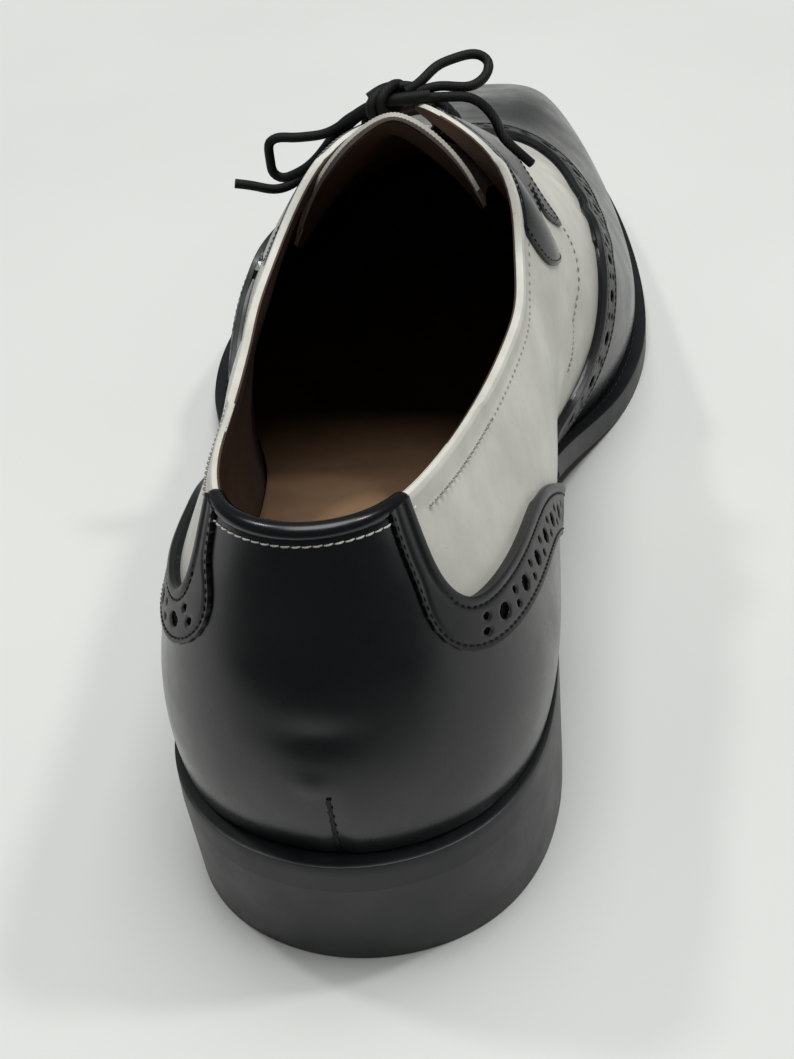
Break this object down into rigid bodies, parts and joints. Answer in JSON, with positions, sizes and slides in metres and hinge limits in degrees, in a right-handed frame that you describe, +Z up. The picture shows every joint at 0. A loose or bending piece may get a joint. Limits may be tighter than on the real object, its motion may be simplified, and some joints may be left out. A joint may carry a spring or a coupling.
{
  "type": "spectator dress shoe",
  "caption": "Left two-tone leather wing-tip lace-up shoe with a stacked heel, welted sole, punched bands, open-fork eyestays, tongue and tied round laces.",
  "frame": {"origin": "middle of the heel's underside, on the floor", "axes": "+Y from heel to toe, +Z up, +X to the inner (medial) side of this left shoe"},
  "size_m": [0.1079, 0.306, 0.1059],
  "materials": {
    "white_leather": "smooth off-white calf, semi-matt",
    "black_leather": "polished black calf",
    "tan_leather": "worn tan lining leather",
    "edge_leather": "blackened waxed edge, satin",
    "rubber": "matt black rubber",
    "cord": "waxed black round lace"
  },
  "bodies": {
    "root": {"top_piece": "rubber", "heel_stack": "edge_leather", "outsole": "edge_leather", "welt": "edge_leather", "insole": "tan_leather", "upper": "white_leather", "tongue": "white_leather", "counter": "black_leather", "counter_band_inner": "black_leather", "counter_band_outer": "black_leather", "wing_cap": "black_leather", "wing_band": "black_leather", "facing_inner": "black_leather", "facing_outer": "black_leather", "lace_bar_1": "cord", "lace_bar_2": "cord", "lace_bar_3": "cord", "lace_bar_4": "cord", "lace_knot": "cord", "lace_loop_inner": "cord", "lace_loop_outer": "cord", "lace_end_inner": "cord", "lace_end_outer": "cord"}
  },
  "joints": []
}
